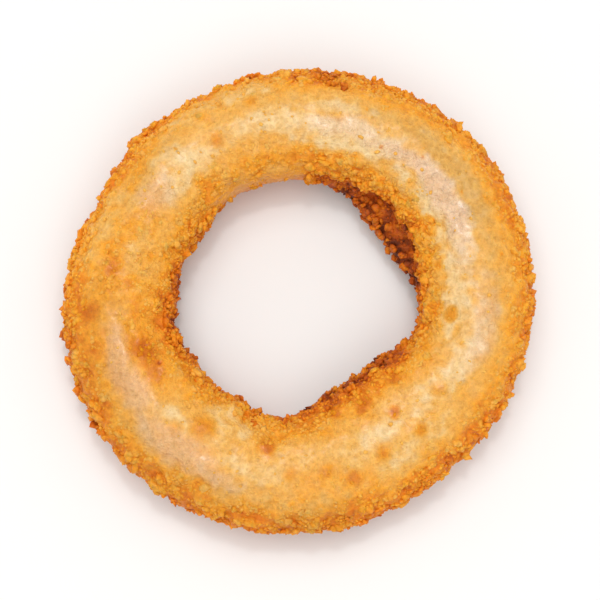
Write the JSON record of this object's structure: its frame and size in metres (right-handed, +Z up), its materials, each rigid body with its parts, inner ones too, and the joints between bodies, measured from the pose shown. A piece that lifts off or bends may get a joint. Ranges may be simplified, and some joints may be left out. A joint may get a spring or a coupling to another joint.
{
  "type": "onion ring",
  "caption": "Battered, breaded and deep-fried onion ring with a pale crown and crumbly golden-brown sides, lying flat.",
  "frame": {"origin": "bottom centre of the ring's bounding box, on the surface that it rests on", "axes": "+Z up through the hole, along the ring's short extent; +X and +Y across the ring"},
  "size_m": [0.0906, 0.09, 0.0196],
  "materials": {
    "golden_crust": "fried batter with crumbs, softly glossy with oil"
  },
  "bodies": {
    "root": {"onion_ring": "golden_crust"}
  },
  "joints": []
}
